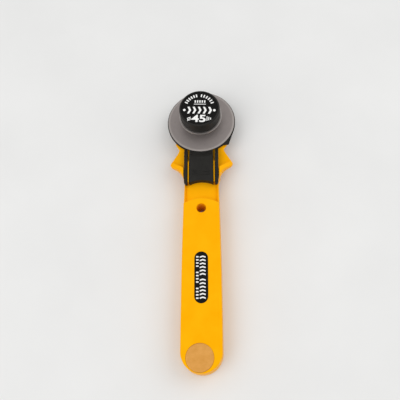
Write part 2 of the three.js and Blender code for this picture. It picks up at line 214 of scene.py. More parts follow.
def right_side():
    """The handle's right edge, from the round end to the tang."""
    end = (GRIP_HALF, GRIP_END_Y + GRIP_HALF)
    neck = (NECK_HALF, NECK_Y)
    side = bezier(end, (GRIP_HALF, -60), (GRIP_HALF - 0.1, -15), neck, 40)
    side += bezier(neck, (11.5, 30.5), (13.4, 34.2), WING_START, 18)
    tang = (TANG_RADIUS, HEAD_Y, 0)
    return side + rounded([(*WING_START, 0), *WING_CORNERS, tang], closed=False)


def handle_outline():
    side = right_side()
    end = arc(0, GRIP_END_Y + GRIP_HALF, GRIP_HALF, 180, 360, 72)
    return clean(end + side + arc(0, HEAD_Y, TANG_RADIUS, 0, 180, 48) + mirrored(side))


def grip_outline(front):
    """The grip without its wings, cut off square at y = front."""
    end = (GRIP_HALF, GRIP_END_Y + GRIP_HALF)
    side = bezier(end, (GRIP_HALF, -60), (GRIP_HALF - 0.1, -15), (NECK_HALF, NECK_Y), 40)
    corner = rounded([(NECK_HALF, NECK_Y, 0), (NECK_HALF, front, 1.2), (0, front, 0)], closed=False)
    side += corner
    return clean(arc(0, GRIP_END_Y + GRIP_HALF, GRIP_HALF, 180, 360, 72) + side + mirrored(side))


def arch(apex, half, radius, steps=24):
    """A shallow arch's points, from left to right."""
    spread = math.degrees(math.asin(half / radius))
    return arc(0, apex - radius, radius, 90 + spread, 90 - spread, steps)


def track_outline(start_half, half):
    """The lowered track: from the arched step, between the side walls, and above the wings' fold."""
    fold_end = FOLD_Y + (FAR - half) * FOLD_RISE
    right = [(start_half, TRACK_OPEN_Y, 0), (half, TRACK_OPEN_Y, 0), (half, FOLD_Y, 1.0),
             (FAR, fold_end, 0), (FAR, 120, 0)]
    right = rounded(right, closed=False)
    return clean(arch(STEP_APEX, start_half, STEP_RADIUS) + right + mirrored(right))


def pill_outline(y_low, y_high, half, steps=32):
    return clean(arc(0, y_high - half, half, 0, 180, steps) + arc(0, y_low + half, half, 180, 360, steps))


def guard_disc_outline():
    disc = arc(0, HEAD_Y, guard_high.x, LUG_SPAN[0], LUG_SPAN[1] + 360, 160)
    first, last = disc[0], disc[-1]
    lug = rounded([(*last, 0), (LUG_TIP[0], HEAD_Y + LUG_TIP[1], 0.7), (*first, 0)], closed=False)
    return clean(disc + lug[1:-1])


def slider_outline(half, reach):
    """The slider: rounded lower corners, an arched end between its rails, a round end at the blade."""
    corner_y = SLIDER_END_Y + 4.5
    corner_x = half - 1.4
    lower = [(half, corner_y, 0), (half - 0.1, SLIDER_END_Y + 1.2, 1.0), (corner_x, SLIDER_END_Y, 0.8),
             (SLOT_X, SLIDER_END_Y, 0)]
    right = list(reversed(rounded(lower, closed=False)))
    spread = math.degrees(math.asin(half / reach))
    top = arc(0, HEAD_Y, reach, -90 + spread, -90 - spread, 32)
    return clean(arch(SLIDER_APEX, SLOT_X - SLOT_HALF, SLIDER_ARCH) + right + top + mirrored(right))


# ---------------------------------------------------------------- solids
# Angles in degrees beyond which an edge is shaded as a crease.
CREASE = 34
FINE_CREASE = 3


def rise(low, high, bottom=0.0, top=0.0, steps=5):
    """(z, inset) pairs of a wall whose bottom and top edges are rounded by the given radii."""
    profile = []
    quarter = [math.radians(90 * i / steps) for i in range(steps + 1)]
    if bottom:
        profile += [(low + bottom * (1 - math.sin(a)), bottom * (1 - math.cos(a))) for a in reversed(quarter)]
    else:
        profile.append((low, 0))
    if top:
        profile += [(high - top * (1 - math.sin(a)), top * (1 - math.cos(a))) for a in quarter]
    else:
        profile.append((high, 0))
    return profile


def flare(low, surface, high, radius, steps=5):
    """(z, inset) pairs of a cutter that leaves a rounded rim of that radius at the surface."""
    quarter = [math.radians(90 * i / steps) for i in range(steps + 1)]
    profile = [(low, 0)]
    profile += [(surface - radius + radius * math.sin(a), -radius * (1 - math.cos(a))) for a in quarter]
    return profile + [(high, -radius)]


def new_object(name, points, faces):
    """An object from points in millimetres."""
    mesh = bpy.data.meshes.new(name)
    mesh.from_pydata([(x * MM, y * MM, z * MM) for x, y, z in points], [], faces)
    mesh.validate()
    obj = bpy.data.objects.new(name, mesh)
    bpy.context.scene.collection.objects.link(obj)
    return obj


def plate(name, outline, profile):
    """A closed solid whose section at each (z, inset) of the profile is the outline moved inwards."""
    count = len(outline)
    points = [(x, y, z) for z, distance in profile for x, y in inset(outline, distance)]
    faces = [tuple(reversed(range(count)))]
    for level in range(len(profile) - 1):
        a, b = level * count, (level + 1) * count
        faces += [(a + i, a + (i + 1) % count, b + (i + 1) % count, b + i) for i in range(count)]
    faces.append(tuple(range(len(points) - count, len(points))))
    return new_object(name, points, faces)


def spin(name, profile, x=0.0, y=None, segments=160):
    """A closed solid: a (radius, z) profile, from axis to axis or closed on itself, turned about (x, y)."""
    y = HEAD_Y if y is None else y
    points = []
    rings = []
    for radius, z in profile:
        if radius == 0:
            rings.append([len(points)] * segments)
            points.append((x, y, z))
            continue
        rings.append(list(range(len(points), len(points) + segments)))
        for i in range(segments):
            a = 2 * math.pi * i / segments
            points.append((x + radius * math.cos(a), y + radius * math.sin(a), z))
    if profile[0][0] > 0:
        rings.append(rings[0])
    faces = []
    for low, high in zip(rings, rings[1:]):
        for i in range(segments):
            k = (i + 1) % segments
            face = []
            for corner in (low[i], low[k], high[k], high[i]):
                if corner not in face:
                    face.append(corner)
            if len(face) > 2:
                faces.append(tuple(face))
    return new_object(name, points, faces)


def bar(name, x, y, z, edge=0.12):
    """A block with softly rounded edges."""
    outline = rounded([(x[0], y[0], edge * 2), (x[1], y[0], edge * 2), (x[1], y[1], edge * 2),
                       (x[0], y[1], edge * 2)], steps=3)
    return plate(name, clean(outline), rise(z[0], z[1], 0, edge, 3))


def wedge(name, outline):
    """A (y, z) outline, counter-clockwise seen from +X, pulled across the whole width."""
    count = len(outline)
    points = [(x, y, z) for x in (-FAR, FAR) for y, z in outline]
    faces = [tuple(reversed(range(count))), tuple(range(count, 2 * count))]
    faces += [(i, (i + 1) % count, count + (i + 1) % count, count + i) for i in range(count)]
    return new_object(name, points, faces)


def boolean(target, operation, *others):
    """Joins or cuts target with other solids, which are used up."""
    for other in others:
        change = target.modifiers.new("change", "BOOLEAN")
        change.operation = operation
        change.solver = "MANIFOLD"
        change.object = other
        bpy.context.view_layer.update()
        graph = bpy.context.evaluated_depsgraph_get()
        made = bpy.data.meshes.new_from_object(target.evaluated_get(graph))
        target.modifiers.clear()
        old = target.data
        target.data = made
        bpy.data.meshes.remove(old)
        bpy.data.objects.remove(other)
    return target


def cut(target, *others):
    return boolean(target, "DIFFERENCE", *others)


def join(target, *others):
    return boolean(target, "UNION", *others)


def finish_piece(obj, material, body, nodes=(), sharp=CREASE):
    """Smooth shading with crisp edges, the material, and the piece's place in the frame."""
    mesh = obj.data
    mesh.name = obj.name
    edit = bmesh.new()
    edit.from_mesh(mesh)
    bmesh.ops.remove_doubles(edit, verts=edit.verts, dist=2e-6)
    bmesh.ops.recalc_face_normals(edit, faces=edit.faces)
    edit.to_mesh(mesh)
    edit.free()
    mesh.polygons.foreach_set("use_smooth", [True] * len(mesh.polygons))
    mesh.set_sharp_from_angle(angle=math.radians(sharp))
    mesh.materials.clear()
    mesh.materials.append(material)
    weighted = obj.modifiers.new("even_shading", "WEIGHTED_NORMAL")
    weighted.keep_sharp = True
    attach(obj, body)
    if nodes:
        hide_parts(*nodes)
    return obj


# ---------------------------------------------------------------- materials
class Shader:
    """A node material under construction. Texture coordinates are the frame's own metres."""

    def __init__(self, name):
        self.material = bpy.data.materials.new(name)
        self.material.use_nodes = True
        self.tree = self.material.node_tree
        self.tree.nodes.clear()
        self.output = self.node("OutputMaterial")
        self.surface = self.node("BsdfPrincipled")
        self.link(self.surface.outputs["BSDF"], self.output.inputs["Surface"])
        self.place = self.node("TexCoord").outputs["Object"]

    def node(self, kind):
        return self.tree.nodes.new("ShaderNode" + kind)

    def link(self, source, target):
        self.tree.links.new(source, target)

    def noise(self, size, detail=2.0, vector=None, stretch=None):
        """Noise whose features are about size millimetres across."""
        texture = self.node("TexNoise")
        texture.inputs["Scale"].default_value = 1 / (size * MM)
        texture.inputs["Detail"].default_value = detail
        source = vector or self.place
        if stretch:
            mapping = self.node("Mapping")
            mapping.inputs["Scale"].default_value = stretch
            self.link(source, mapping.inputs["Vector"])
            source = mapping.outputs["Vector"]
        self.link(source, texture.inputs["Vector"])
        return texture.outputs["Fac"]

    def span(self, value, low, high, start=0.3, stop=0.7):
        """The value's range from start to stop, spread over low to high."""
        node = self.node("MapRange")
        self.link(value, node.inputs["Value"])
        for name, number in (("From Min", start), ("From Max", stop), ("To Min", low), ("To Max", high)):
            node.inputs[name].default_value = number
        return node.outputs["Result"]

    def mix(self, factor, first, second):
        """A colour between two colours, each a triple or an output."""
        node = self.node("Mix")
        node.data_type = "RGBA"
        self.link(factor, node.inputs["Factor"])
        for name, colour in (("A", first), ("B", second)):
            socket = [s for s in node.inputs if s.name == name and s.type == "RGBA"][0]
            if isinstance(colour, tuple):
                socket.default_value = (*colour, 1)
            else:
                self.link(colour, socket)
        return [s for s in node.outputs if s.type == "RGBA"][0]

    def maths(self, operation, first, second):
        node = self.node("Math")
        node.operation = operation
        for socket, value in zip(node.inputs, (first, second)):
            if isinstance(value, (int, float)):
                socket.default_value = value
            else:
                self.link(value, socket)
        return node.outputs["Value"]

    def bump(self, height, depth, strength=1.0, normal=None):
        """Relief of the height texture, depth in millimetres."""
        node = self.node("Bump")
        node.inputs["Distance"].default_value = depth * MM
        node.inputs["Strength"].default_value = strength
        self.link(height, node.inputs["Height"])
        if normal:
            self.link(normal, node.inputs["Normal"])
        return node.outputs["Normal"]

    def set(self, **values):
        """Sets the surface's sockets: a number, a colour or an output for each."""
        names = {"color": "Base Color", "roughness": "Roughness", "metallic": "Metallic", "normal": "Normal",
                 "specular": "Specular IOR Level", "tint": "Specular Tint"}
        for key, value in values.items():
            socket = self.surface.inputs[names[key]]
            if isinstance(value, (int, float)):
                socket.default_value = value
            elif isinstance(value, tuple):
                socket.default_value = (*value, 1)
            else:
                self.link(value, socket)
        return self.material


def linear(red, green, blue):
    """A display colour of 0 to 255 as linear light."""
    def convert(c):
        c /= 255
        return c / 12.92 if c <= 0.04045 else ((c + 0.055) / 1.055) ** 2.4
    return tuple(convert(c) for c in (red, green, blue))


def yellow_plastic():
    """Satin moulded plastic: cloudy colour, fine spark-eroded grain, a few hairline scratches."""
    s = Shader("yellow_plastic")
    cloud = s.noise(9, 3)
    color = s.mix(s.span(cloud, 0, 1), linear(250, 172, 4), linear(253, 180, 9))
    grain = s.noise(0.22, 3)
    color = s.mix(s.span(grain, 0, 0.35), color, linear(244, 163, 2))
    scratch = s.noise(0.16, 1, stretch=(1, 0.03, 1))
    roughness = s.maths("ADD", s.span(cloud, 0.36, 0.46), s.span(scratch, 0.08, 0, 0.2, 0.34))
    relief = s.bump(grain, 0.012)
    relief = s.bump(s.span(scratch, 0, 1, 0.22, 0.32), 0.004, 0.6, relief)
    return s.set(color=color, roughness=roughness, specular=0.35, tint=(1.0, 0.62, 0.04), normal=relief)


def black_plastic():
    """Fine-textured moulded plastic, near black, with dust-grey variation."""
    s = Shader("black_plastic")
    cloud = s.noise(5, 4)
    color = s.mix(s.span(cloud, 0, 1), linear(26, 25, 23), linear(34, 33, 30))
    grain = s.noise(0.16, 3)
    color = s.mix(s.span(grain, 0, 0.5), color, linear(42, 40, 37))
    roughness = s.span(cloud, 0.42, 0.56)
    return s.set(color=color, roughness=roughness, specular=0.16, normal=s.bump(grain, 0.014))


def label_black():
    """Smooth printed black: slightly glossy, with faint handling marks."""
    s = Shader("label_black")
    cloud = s.noise(3, 4)
    color = s.mix(s.span(cloud, 0, 1), linear(12, 12, 11), linear(20, 19, 18))
    grain = s.noise(0.09, 2)
    roughness = s.span(s.noise(0.8, 4), 0.34, 0.5)
    return s.set(color=color, roughness=roughness, specular=0.1, normal=s.bump(grain, 0.003))


def mark_white():
    """Screen-printed white ink with a slightly uneven body."""
    s = Shader("mark_white")
    grain = s.noise(0.18, 3)
    color = s.mix(s.span(grain, 0, 1), linear(232, 231, 228), linear(250, 250, 248))
    return s.set(color=color, roughness=0.55, specular=0.3, normal=s.bump(grain, 0.004))


def blade_steel():
    """Ground steel with a painted highlight, its bevel coloured lighter: rings left by polishing, short
    scratches, a few oil-dark specks.
    """
    s = Shader("blade_steel")
    centre = s.node("VectorMath")
    centre.operation = "SUBTRACT"
    s.link(s.place, centre.inputs[0])
    centre.inputs[1].default_value = (0, HEAD_Y * MM, blade_high.z * MM)
    length = s.node("VectorMath")
    length.operation = "LENGTH"
    s.link(centre.outputs["Vector"], length.inputs[0])
    radius = s.node("CombineXYZ")
    s.link(length.outputs["Value"], radius.inputs["X"])
    rings = s.noise(0.12, 3, vector=radius.outputs["Vector"])
    scratch = s.noise(0.14, 2, stretch=(0.05, 1, 1))
    cloud = s.noise(6, 4)
    color = s.mix(s.span(rings, 0, 1), linear(146, 138, 135), linear(156, 148, 145))
    color = s.mix(s.span(cloud, 0, 0.35), color, linear(136, 128, 126))
    specks = s.noise(0.9, 2)
    color = s.mix(s.span(specks, 0.5, 0, 0.2, 0.27), color, linear(84, 80, 78))
    # Painted highlight: the bevel band near the rim is coloured a lighter grey, standing in for the bright
    # line along the edge.
    bevel = (BLADE_RADIUS - BEVEL) * MM
    painted_bevel_highlight = s.span(length.outputs["Value"], 0, 0.8, bevel, bevel + 0.08 * MM)
    color = s.mix(painted_bevel_highlight, color, linear(166, 159, 155))
    roughness = s.maths("ADD", s.span(cloud, 0.44, 0.52), s.span(scratch, 0.07, 0, 0.25, 0.4))
    relief = s.bump(rings, 0.0015)
    relief = s.bump(scratch, 0.0015, 0.5, relief)
    return s.set(color=color, metallic=0.6, roughness=roughness, specular=0.2, normal=relief)


def bolt_steel():
    """Turned and plated steel."""
    s = Shader("bolt_steel")
    turned = s.noise(0.1, 2, stretch=(0.2, 0.2, 6))
    cloud = s.noise(3, 3)
    color = s.mix(s.span(cloud, 0, 1), linear(158, 152, 149), linear(172, 166, 162))
    roughness = s.span(turned, 0.34, 0.48)
    return s.set(color=color, metallic=0.9, roughness=roughness, normal=s.bump(turned, 0.002))


def tan_disc():
    """A matt tan metallic disc, brushed across, with small stains."""
    s = Shader("tan_disc")
    brushed = s.noise(0.12, 3, stretch=(0.06, 1, 1))
    cloud = s.noise(4, 4)
    color = s.mix(s.span(cloud, 0, 1), linear(205, 141, 54), linear(218, 157, 75))
    color = s.mix(s.span(brushed, 0, 0.4), color, linear(232, 172, 98))
    roughness = s.span(brushed, 0.38, 0.52)
    return s.set(color=color, metallic=0.35, roughness=roughness, specular=0.3, normal=s.bump(brushed, 0.006))


def acetal():
    """Off-white bearing plastic."""
    s = Shader("acetal")
    cloud = s.noise(1.5, 3)
    color = s.mix(s.span(cloud, 0, 1), linear(226, 222, 212), linear(238, 235, 227))
    return s.set(color=color, roughness=0.45, specular=0.4, normal=s.bump(s.noise(0.2, 2), 0.006))


def floor_paper():
    """A plain pale floor with a barely visible paper tooth."""
    s = Shader("floor_paper")
    cloud = s.noise(60, 3)
    color = s.mix(s.span(cloud, 0, 1), linear(226, 226, 225), linear(230, 230, 229))
    return s.set(color=color, roughness=0.8, specular=0.2, normal=s.bump(s.noise(0.8, 3), 0.02))


# ---------------------------------------------------------------- camera, floor and light
AIM = Vector((-0.83, 13.48, 13.0)) * MM
TILT = 21.46
TURN = 3.86
DISTANCE = 0.3645
LENS = 50.92
FLOOR_REACH = 8000
FLOOR_GAP = 0.05


def make_camera():
    """Looks down at the front from the grip's side by TILT, and from the right by TURN, +Y up."""
    tilt = math.radians(TILT)
    turn = math.radians(TURN)
    back = Vector((math.sin(turn), -math.sin(tilt) * math.cos(turn), math.cos(tilt) * math.cos(turn)))
    right = Vector((0, 1, 0)).cross(back).normalized()
    up = back.cross(right)
    data = bpy.data.cameras.new("camera")
    data.sensor_width = 36
    data.lens = LENS
    data.clip_start = 0.01
    data.clip_end = 20
    camera = bpy.data.objects.new("camera", data)
    bpy.context.scene.collection.objects.link(camera)
    turned = Matrix((right, up, back)).transposed().to_4x4()
    camera.matrix_world = Matrix.Translation(AIM + back * DISTANCE) @ turned
    bpy.context.scene.camera = camera


def make_floor(material):
    half = FLOOR_REACH
    z = nut_low.z - FLOOR_GAP
    floor = new_object("floor", [(-half, -half, z), (half, -half, z), (half, half, z), (-half, half, z)],
                       [(0, 1, 2, 3)])
    floor.data.materials.append(material)


def area_light(name, place, size, power):
    """A square soft light aimed at the middle of the cutter."""
    data = bpy.data.lights.new(name, "AREA")
    data.shape = "SQUARE"
    data.size = size
    data.energy = power
    light = bpy.data.objects.new(name, data)
    light.location = place
    light.rotation_euler = (AIM - Vector(place)).to_track_quat("-Z", "Y").to_euler()
    bpy.context.scene.collection.objects.link(light)


def make_light():
    area_light("key_light", (-0.6, -0.35, 0.9), 0.8, 3.4)
    area_light("fill_light", (0.75, 0.3, 0.8), 0.9, 3.0)
    world = bpy.data.worlds.new("studio")
    world.use_nodes = True
    background = world.node_tree.nodes["Background"]
    background.inputs["Color"].default_value = (1.0, 1.0, 1.0, 1)
    background.inputs["Strength"].default_value = 0.75
    scene = bpy.context.scene
    scene.world = world
    scene.view_settings.view_transform = "Standard"


# ---------------------------------------------------------------- the handle
def hang_hole_cutter(low, high, surface, radius):
    """A round cutter whose rim flares at the surface, which is the solid's top or bottom face."""
    steps = 6
    quarter = [math.radians(90 * i / steps) for i in range(steps + 1)]
    up = surface > (low + high) / 2
    flared = [(HANG_HOLE_RADIUS + radius * (1 - math.cos(a)), radius * (math.sin(a) - 1)) for a in quarter]
    if up:
        wall = [(0, low), (HANG_HOLE_RADIUS, low)] + [(r, surface + dz) for r, dz in flared]
        wall += [(HANG_HOLE_RADIUS + radius, high), (0, high)]
    else:
        wall = [(0, low), (HANG_HOLE_RADIUS + radius, low)]
        wall += [(r, surface - dz) for r, dz in reversed(flared)] + [(HANG_HOLE_RADIUS, high), (0, high)]
    return spin("hole", wall, y=HANG_HOLE_Y, segments=64)


def shank_cutter():
    """A round cutter that clears the bolt's shank."""
    radius = SHANK_RADIUS + CLEARANCE
    return spin("shank_cut", [(0, 0), (radius, 0), (radius, 20), (0, 20)], segments=64)


def droop(obj, base):
    """Lets the wings' top fall outwards from WING_TOP_X, less and less down to the height base."""
    mesh = obj.data
    edit = bmesh.new()
    edit.from_mesh(mesh)
    for x, y, normal in ((WING_TOP_X, 0, (1, 0, 0)), (-WING_TOP_X, 0, (1, 0, 0)), (0, NECK_Y, (0, 1, 0))):
        everything = edit.verts[:] + edit.edges[:] + edit.faces[:]
        bmesh.ops.bisect_plane(edit, geom=everything, plane_co=Vector((x, y, 0)) * MM, plane_no=normal)
    for vertex in edit.verts:
        x, y, z = vertex.co / MM
        if y > NECK_Y and abs(x) > WING_TOP_X:
            share = (z - base) / (GRIP_TOP - base)
            vertex.co.z -= share * WING_FALL * (abs(x) - WING_TOP_X) * MM
    edit.to_mesh(mesh)
    edit.free()
    return obj


def beside(low, high):
    """Two blocks outside the grip's core, next to the wings."""
    spans = ((WING_INNER, FAR), (-FAR, -WING_INNER))
    return [bar("beside", x, (NECK_Y, HEAD_Y), (low, high), 0.01) for x in spans]


def front_shell():
    outline = handle_outline()
    core = plate("front_shell", outline, rise(SPLIT_Z - 0.12, TRACK_FLOOR - 0.6, 0.15, 0))
    cut(core, *beside(-1, 12))
    floor = plate("floor", inset(outline, 0.01), rise(WING_BACK, TRACK_FLOOR, 0.6, 0.45))
    lips = plate("lips", inset(outline, 0.06), rise(TRACK_FLOOR - 1, LIP_TOP, 0, 0.2, 3))
    cut(lips, plate("floor_cut", track_outline(FLOOR_HALF, FLOOR_HALF),
                    flare(TRACK_FLOOR - 2, LIP_TOP, LIP_TOP + 3, 0.12, 3)), *beside(5, 20))
    upper = plate("upper", inset(outline, 0.04), rise(TRACK_FLOOR - 0.8, GRIP_TOP, 0, EDGE_ROUND))
    cut(upper, plate("track_cut", track_outline(GRIP_HALF + 1, TRACK_HALF),
                     flare(TRACK_FLOOR - 2, GRIP_TOP, GRIP_TOP + 3, 0.35)))
    body = join(core, floor, lips, droop(upper, TRACK_FLOOR - 0.8))
    for side in (-1, 1):
        x = (side * SLOT_X - RIB_HALF, side * SLOT_X + RIB_HALF)
        join(body, bar("rib", x, RIB_Y, (TRACK_FLOOR - 0.5, shell_high.z)))
    beyond = HEAD_Y + FAR
    start, stop = BACK_SLOPE_Y
    slope = [(start, -1), (beyond, -1), (beyond, TANG_BACK), (stop, TANG_BACK), (start, SPLIT_Z - 0.13)]
    cut(body, wedge("back_cut", slope))
    cut(body, hang_hole_cutter(-1, GRIP_TOP + 2, GRIP_TOP, 0.55))
    floor_z = GRIP_TOP - INLAY_DEPTH
    pill = pill_outline(label_low.y - 0.12, label_high.y + 0.12, label_high.x + 0.12)
    cut(body, plate("label_cut", pill, flare(floor_z, GRIP_TOP, GRIP_TOP + 2, 0.12, 3)))
    badge_x, badge_y, badge_radius = badge_place()
    ring = [(badge_x + x, badge_y + y) for x, y in arc(0, 0, badge_radius + 0.1, 0, 360, 96)[:-1]]
    cut(body, plate("badge_cut", ring, flare(floor_z, GRIP_TOP, GRIP_TOP + 2, 0.1, 3)))
    return cut(body, shank_cutter())


def rear_cover():
    front = cover_high.y
    body = plate("rear_cover", grip_outline(front), rise(cover_low.z, SPLIT_Z - 0.2, 0.9, 0.15))
    cut(body, wedge("front_cut", [(16, -1), (front + 1, -1), (front + 1, 4.0), (16, 0)]))
    cut(body, hang_hole_cutter(-1, 10, 0, 0.55))
    return body


def badge_place():
    """The end disc's centre x and y, and its radius."""
    centre = (badge_low + badge_high) / 2
    return centre.x, centre.y, (badge_high.x - badge_low.x) / 2


def label():
    outline = pill_outline(label_low.y, label_high.y, label_high.x)
    return plate("label", outline, rise(label_low.z, label_high.z, 0, 0.15, 3))


def end_badge():
    x, y, radius = badge_place()
    low, high = badge_low.z, badge_high.z
    profile = [(0, low), (radius, low), (radius, high - 0.28), (radius - 0.08, high - 0.12),
               (radius - 0.28, high - 0.04), (radius - 0.9, high), (0, high)]
    return spin("end_disc", profile, x, y, 128)


# ---------------------------------------------------------------- the guard
def arrow_outline(y_low, y_high, half):
    """A plain arrow that points to the blade."""
    neck = y_low + (y_high - y_low) * 0.45
    stem = half * 0.36
    right = [(stem, y_low, 0.15), (stem, neck, 0.1), (half, neck, 0.2)]
    left = [(-x, y, radius) for x, y, radius in reversed(right)]
    corners = [*right, (0, y_high, 0.2), *left]
    return clean(rounded(corners, 3))


def thumb_ridge(reach):
    """A low round-topped bar that curves round the blade's centre."""
    middle = reach - RIDGE_WIDTH / 2
    low, high = SLIDER_TOP - 0.5, guard_high.z
    half = RIDGE_WIDTH / 2
    crest = [(middle - half * math.sin(a), high - 0.35 * (1 - math.cos(a)))
             for a in (math.radians(15 * i) for i in range(-6, 7))]
    band = spin("ridge", [(middle - half, low), (middle + half, low)] + crest, segments=360)
    block = bar("ridge_ends", (-RIDGE_HALF, RIDGE_HALF), (SLIDER_END_Y, 40), (low - 1, high + 1))
    return boolean(band, "INTERSECT", block)


def blade_guard():
    disc = plate("guard", guard_disc_outline(), rise(guard_low.z, GUARD_DISC_TOP, 0.3, 0.3, 4))
    foot = plate("foot", slider_outline(FOOT_HALF, guard_high.x - 3),
                 rise(guard_low.z, GUARD_DISC_TOP + 0.1, 0.2, 0, 3))
    flange = plate("flange", slider_outline(FLANGE_HALF, BLADE_RADIUS + 0.9),
                   rise(GUARD_DISC_TOP - 0.12, SLIDER_TOP, 0.15, 0.35, 4))
    edge = BLADE_RADIUS + 1.0
    base = GUARD_DISC_TOP + 0.05
    ramp = [(0, base), (edge, base), (edge + 0.15, 13.0), (edge + 0.6, 13.35), (edge + 1.3, 13.6),
            (edge + 2.6, 14.5), (edge + 3.3, 14.85), (edge + 4.1, SLIDER_TOP - 0.01),
            (edge + 4.5, SLIDER_TOP + 0.05), (edge + 4.5, 20), (0, 20)]
    cut(flange, spin("ramp", ramp, segments=192))
    join(disc, foot, flange)
    for side in (-1, 1):
        x = (side * SLOT_X - SLOT_HALF, side * SLOT_X + SLOT_HALF)
        slot = clean(rounded([(x[0], 10, 0), (x[1], 10, 0), (x[1], 54.6, 0.5), (x[0], 54.6, 0.5)], 4))
        cut(disc, plate("slot", slot, flare(5, SLIDER_TOP, SLIDER_TOP + 3, 0.15, 3)))
    for reach in RIDGE_REACH:
        join(disc, thumb_ridge(reach))
    relief = rise(SLIDER_TOP - 0.5, SLIDER_TOP + 0.14, 0, 0.06, 2)
    join(disc, plate("arrow", arrow_outline(*ARROW_Y, ARROW_HALF), relief))
    radius = SHANK_RADIUS + 0.4
    travel = -frame["joints"][0]["axis"][1] * frame["joints"][0]["range_m"][1] / MM
    slot = pill_outline(HEAD_Y - radius, HEAD_Y + travel + radius, radius, 24)
    return cut(disc, plate("bolt_slot", slot, rise(0, 20)))


# ---------------------------------------------------------------- blade, bolt, knob and nut
def blade():
    low, high = blade_low.z, blade_high.z
    middle = (low + high) / 2
    bore = 5
    inner = BLADE_RADIUS - BEVEL
    profile = [(bore, low), (inner, low), (BLADE_RADIUS, middle - 0.012), (BLADE_RADIUS, middle + 0.012),
               (inner, high), (bore, high)]
    return spin("blade_disc", profile, segments=288)


def blade_bush():
    inner, outer = SHANK_RADIUS + CLEARANCE, bush_high.x
    low, high = bush_low.z, bush_high.z
    return spin("bush", [(inner, low), (outer, low), (outer, high), (inner, high)], segments=96)


def bolt():
    flange = bolt_high.x
    soft = 0.25
    profile = [(0, bolt_low.z), (SHANK_RADIUS - 0.4, bolt_low.z), (SHANK_RADIUS, bolt_low.z + 0.4)]
    thread = bolt_low.z + 0.8
    while thread < 5.2:
        profile += [(SHANK_RADIUS - 0.28, thread), (SHANK_RADIUS, thread + 0.25)]
        thread += 0.5
    profile += [(SHANK_RADIUS, HUB_Z[0]), (HUB_RADIUS, HUB_Z[0]), (HUB_RADIUS, HUB_Z[1] - 0.5),
                (HUB_RADIUS + 0.15, HUB_Z[1] - 0.15), (HUB_RADIUS + 0.5, HUB_Z[1]), (flange - soft, HUB_Z[1]),
                (flange - 0.07, HUB_Z[1] + 0.07), (flange, HUB_Z[1] + soft), (flange, FLANGE_TOP - soft),
                (flange - 0.07, FLANGE_TOP - 0.07), (flange - soft, FLANGE_TOP), (BOSS_RADIUS, FLANGE_TOP),
                (BOSS_RADIUS, bolt_high.z), (0, bolt_high.z)]
    return spin("bolt_body", profile, segments=192)


def knob_cap():
    """Round-shouldered cap with a shallow seat for the printed face."""
    low, high = knob_low.z, knob_high.z
    seat = FACE_RADIUS + 0.08
    rim = 0.1
    shoulder = KNOB_RADIUS - seat - rim
    centre_r, centre_z = KNOB_RADIUS - shoulder, high - shoulder
    steps = 8
    curve = [(centre_r + shoulder * math.cos(a), centre_z + shoulder * math.sin(a))
             for a in (math.radians(90 * i / steps) for i in range(steps))]
    bore, roof = BOSS_RADIUS + CLEARANCE, bolt_high.z + CLEARANCE
    profile = [(0, roof), (bore, roof), (bore, low), (KNOB_RADIUS - 0.5, low),
               (KNOB_RADIUS - 0.15, low + 0.15), (KNOB_RADIUS, low + 0.5)]
    profile += curve + [(seat + rim, high), (seat, high - rim), (seat, high - 0.9), (0, high - 0.9)]
    return spin("knob", profile, segments=192)


def knob_face():
    """A disc that crowns slightly."""
    top = face_high.z
    steps = 10
    profile = [(0, face_low.z), (FACE_RADIUS, face_low.z), (FACE_RADIUS, top - 0.36),
               (FACE_RADIUS - 0.12, top - 0.26)]
    radii = [FACE_RADIUS * (1 - i / steps) * 0.985 for i in range(steps)]
    profile += [(radius, crown(radius)) for radius in radii]
    profile.append((0, top))
    return spin("knob_print_disc", profile, segments=160)


def crown(radius):
    """Height of the face disc at that radius."""
    return face_high.z - 0.24 * (radius / FACE_RADIUS) ** 2


def nut():
    """Moulded cap with scalloped grips, a hexagonal pocket for the insert and a shallow ring groove."""
    scallops = 14
    radius = nut_high.y - HEAD_Y
    steps = scallops * 16
    outline = []
    for i in range(steps):
        a = 2 * math.pi * i / steps
        wave = (1 + math.cos(scallops * a)) / 2
        r = radius - 0.75 * wave ** 3
        outline.append((r * math.cos(a), HEAD_Y + r * math.sin(a)))
    body = plate("nut", outline, rise(nut_low.z, nut_high.z, 0.7, 0.35, 4))
    hexagon = [(x, HEAD_Y + y) for x, y in arc(0, 0, 6.0, 0, 360, 6)[:-1]]
    cut(body, plate("hex_cut", hexagon, rise(insert_low.z - 0.2, nut_high.z + 2)))
    groove = [(5.6, -1), (6.2, -1), (6.05, 0.25), (5.75, 0.25)]
    cut(body, spin("ring_groove", groove, segments=96))
    return body


def nut_insert():
    low, high = insert_low.z, insert_high.z
    hexagon = [(x, HEAD_Y + y) for x, y in arc(0, 0, insert_high.y - HEAD_Y, 30, 390, 6)[:-1]]
    hexagon = clean(rounded([(x, y, 0.4) for x, y in hexagon], 3))
    body = plate("insert", hexagon, rise(low, high, 0.2, 0.2, 3))
    return cut(body, shank_cutter())


def rear_washer():
    low, high = washer_low.z, washer_high.z
    inner, outer, soft = SHANK_RADIUS + 0.4, washer_high.x, 0.1
    profile = [(inner, low + soft), (inner + soft, low), (outer - soft, low), (outer, low + soft),
               (outer, high - soft), (outer - soft, high), (inner + soft, high), (inner, high - soft)]
    return spin("flat_washer", profile, segments=128)


def wave_washer():
    inner, outer = SHANK_RADIUS + 0.4, wave_high.x
    thick = 0.35
    low = wave_low.z
    piece = spin("spring_washer", [(inner, low), (outer, low), (outer, low + thick), (inner, low + thick)],
                 segments=192)
    lift = wave_high.z - wave_low.z - thick
    for vertex in piece.data.vertices:
        angle = math.atan2(vertex.co.y - HEAD_Y * MM, vertex.co.x)
        vertex.co.z += lift * (1 - math.cos(4 * angle)) / 2 * MM
    return piece


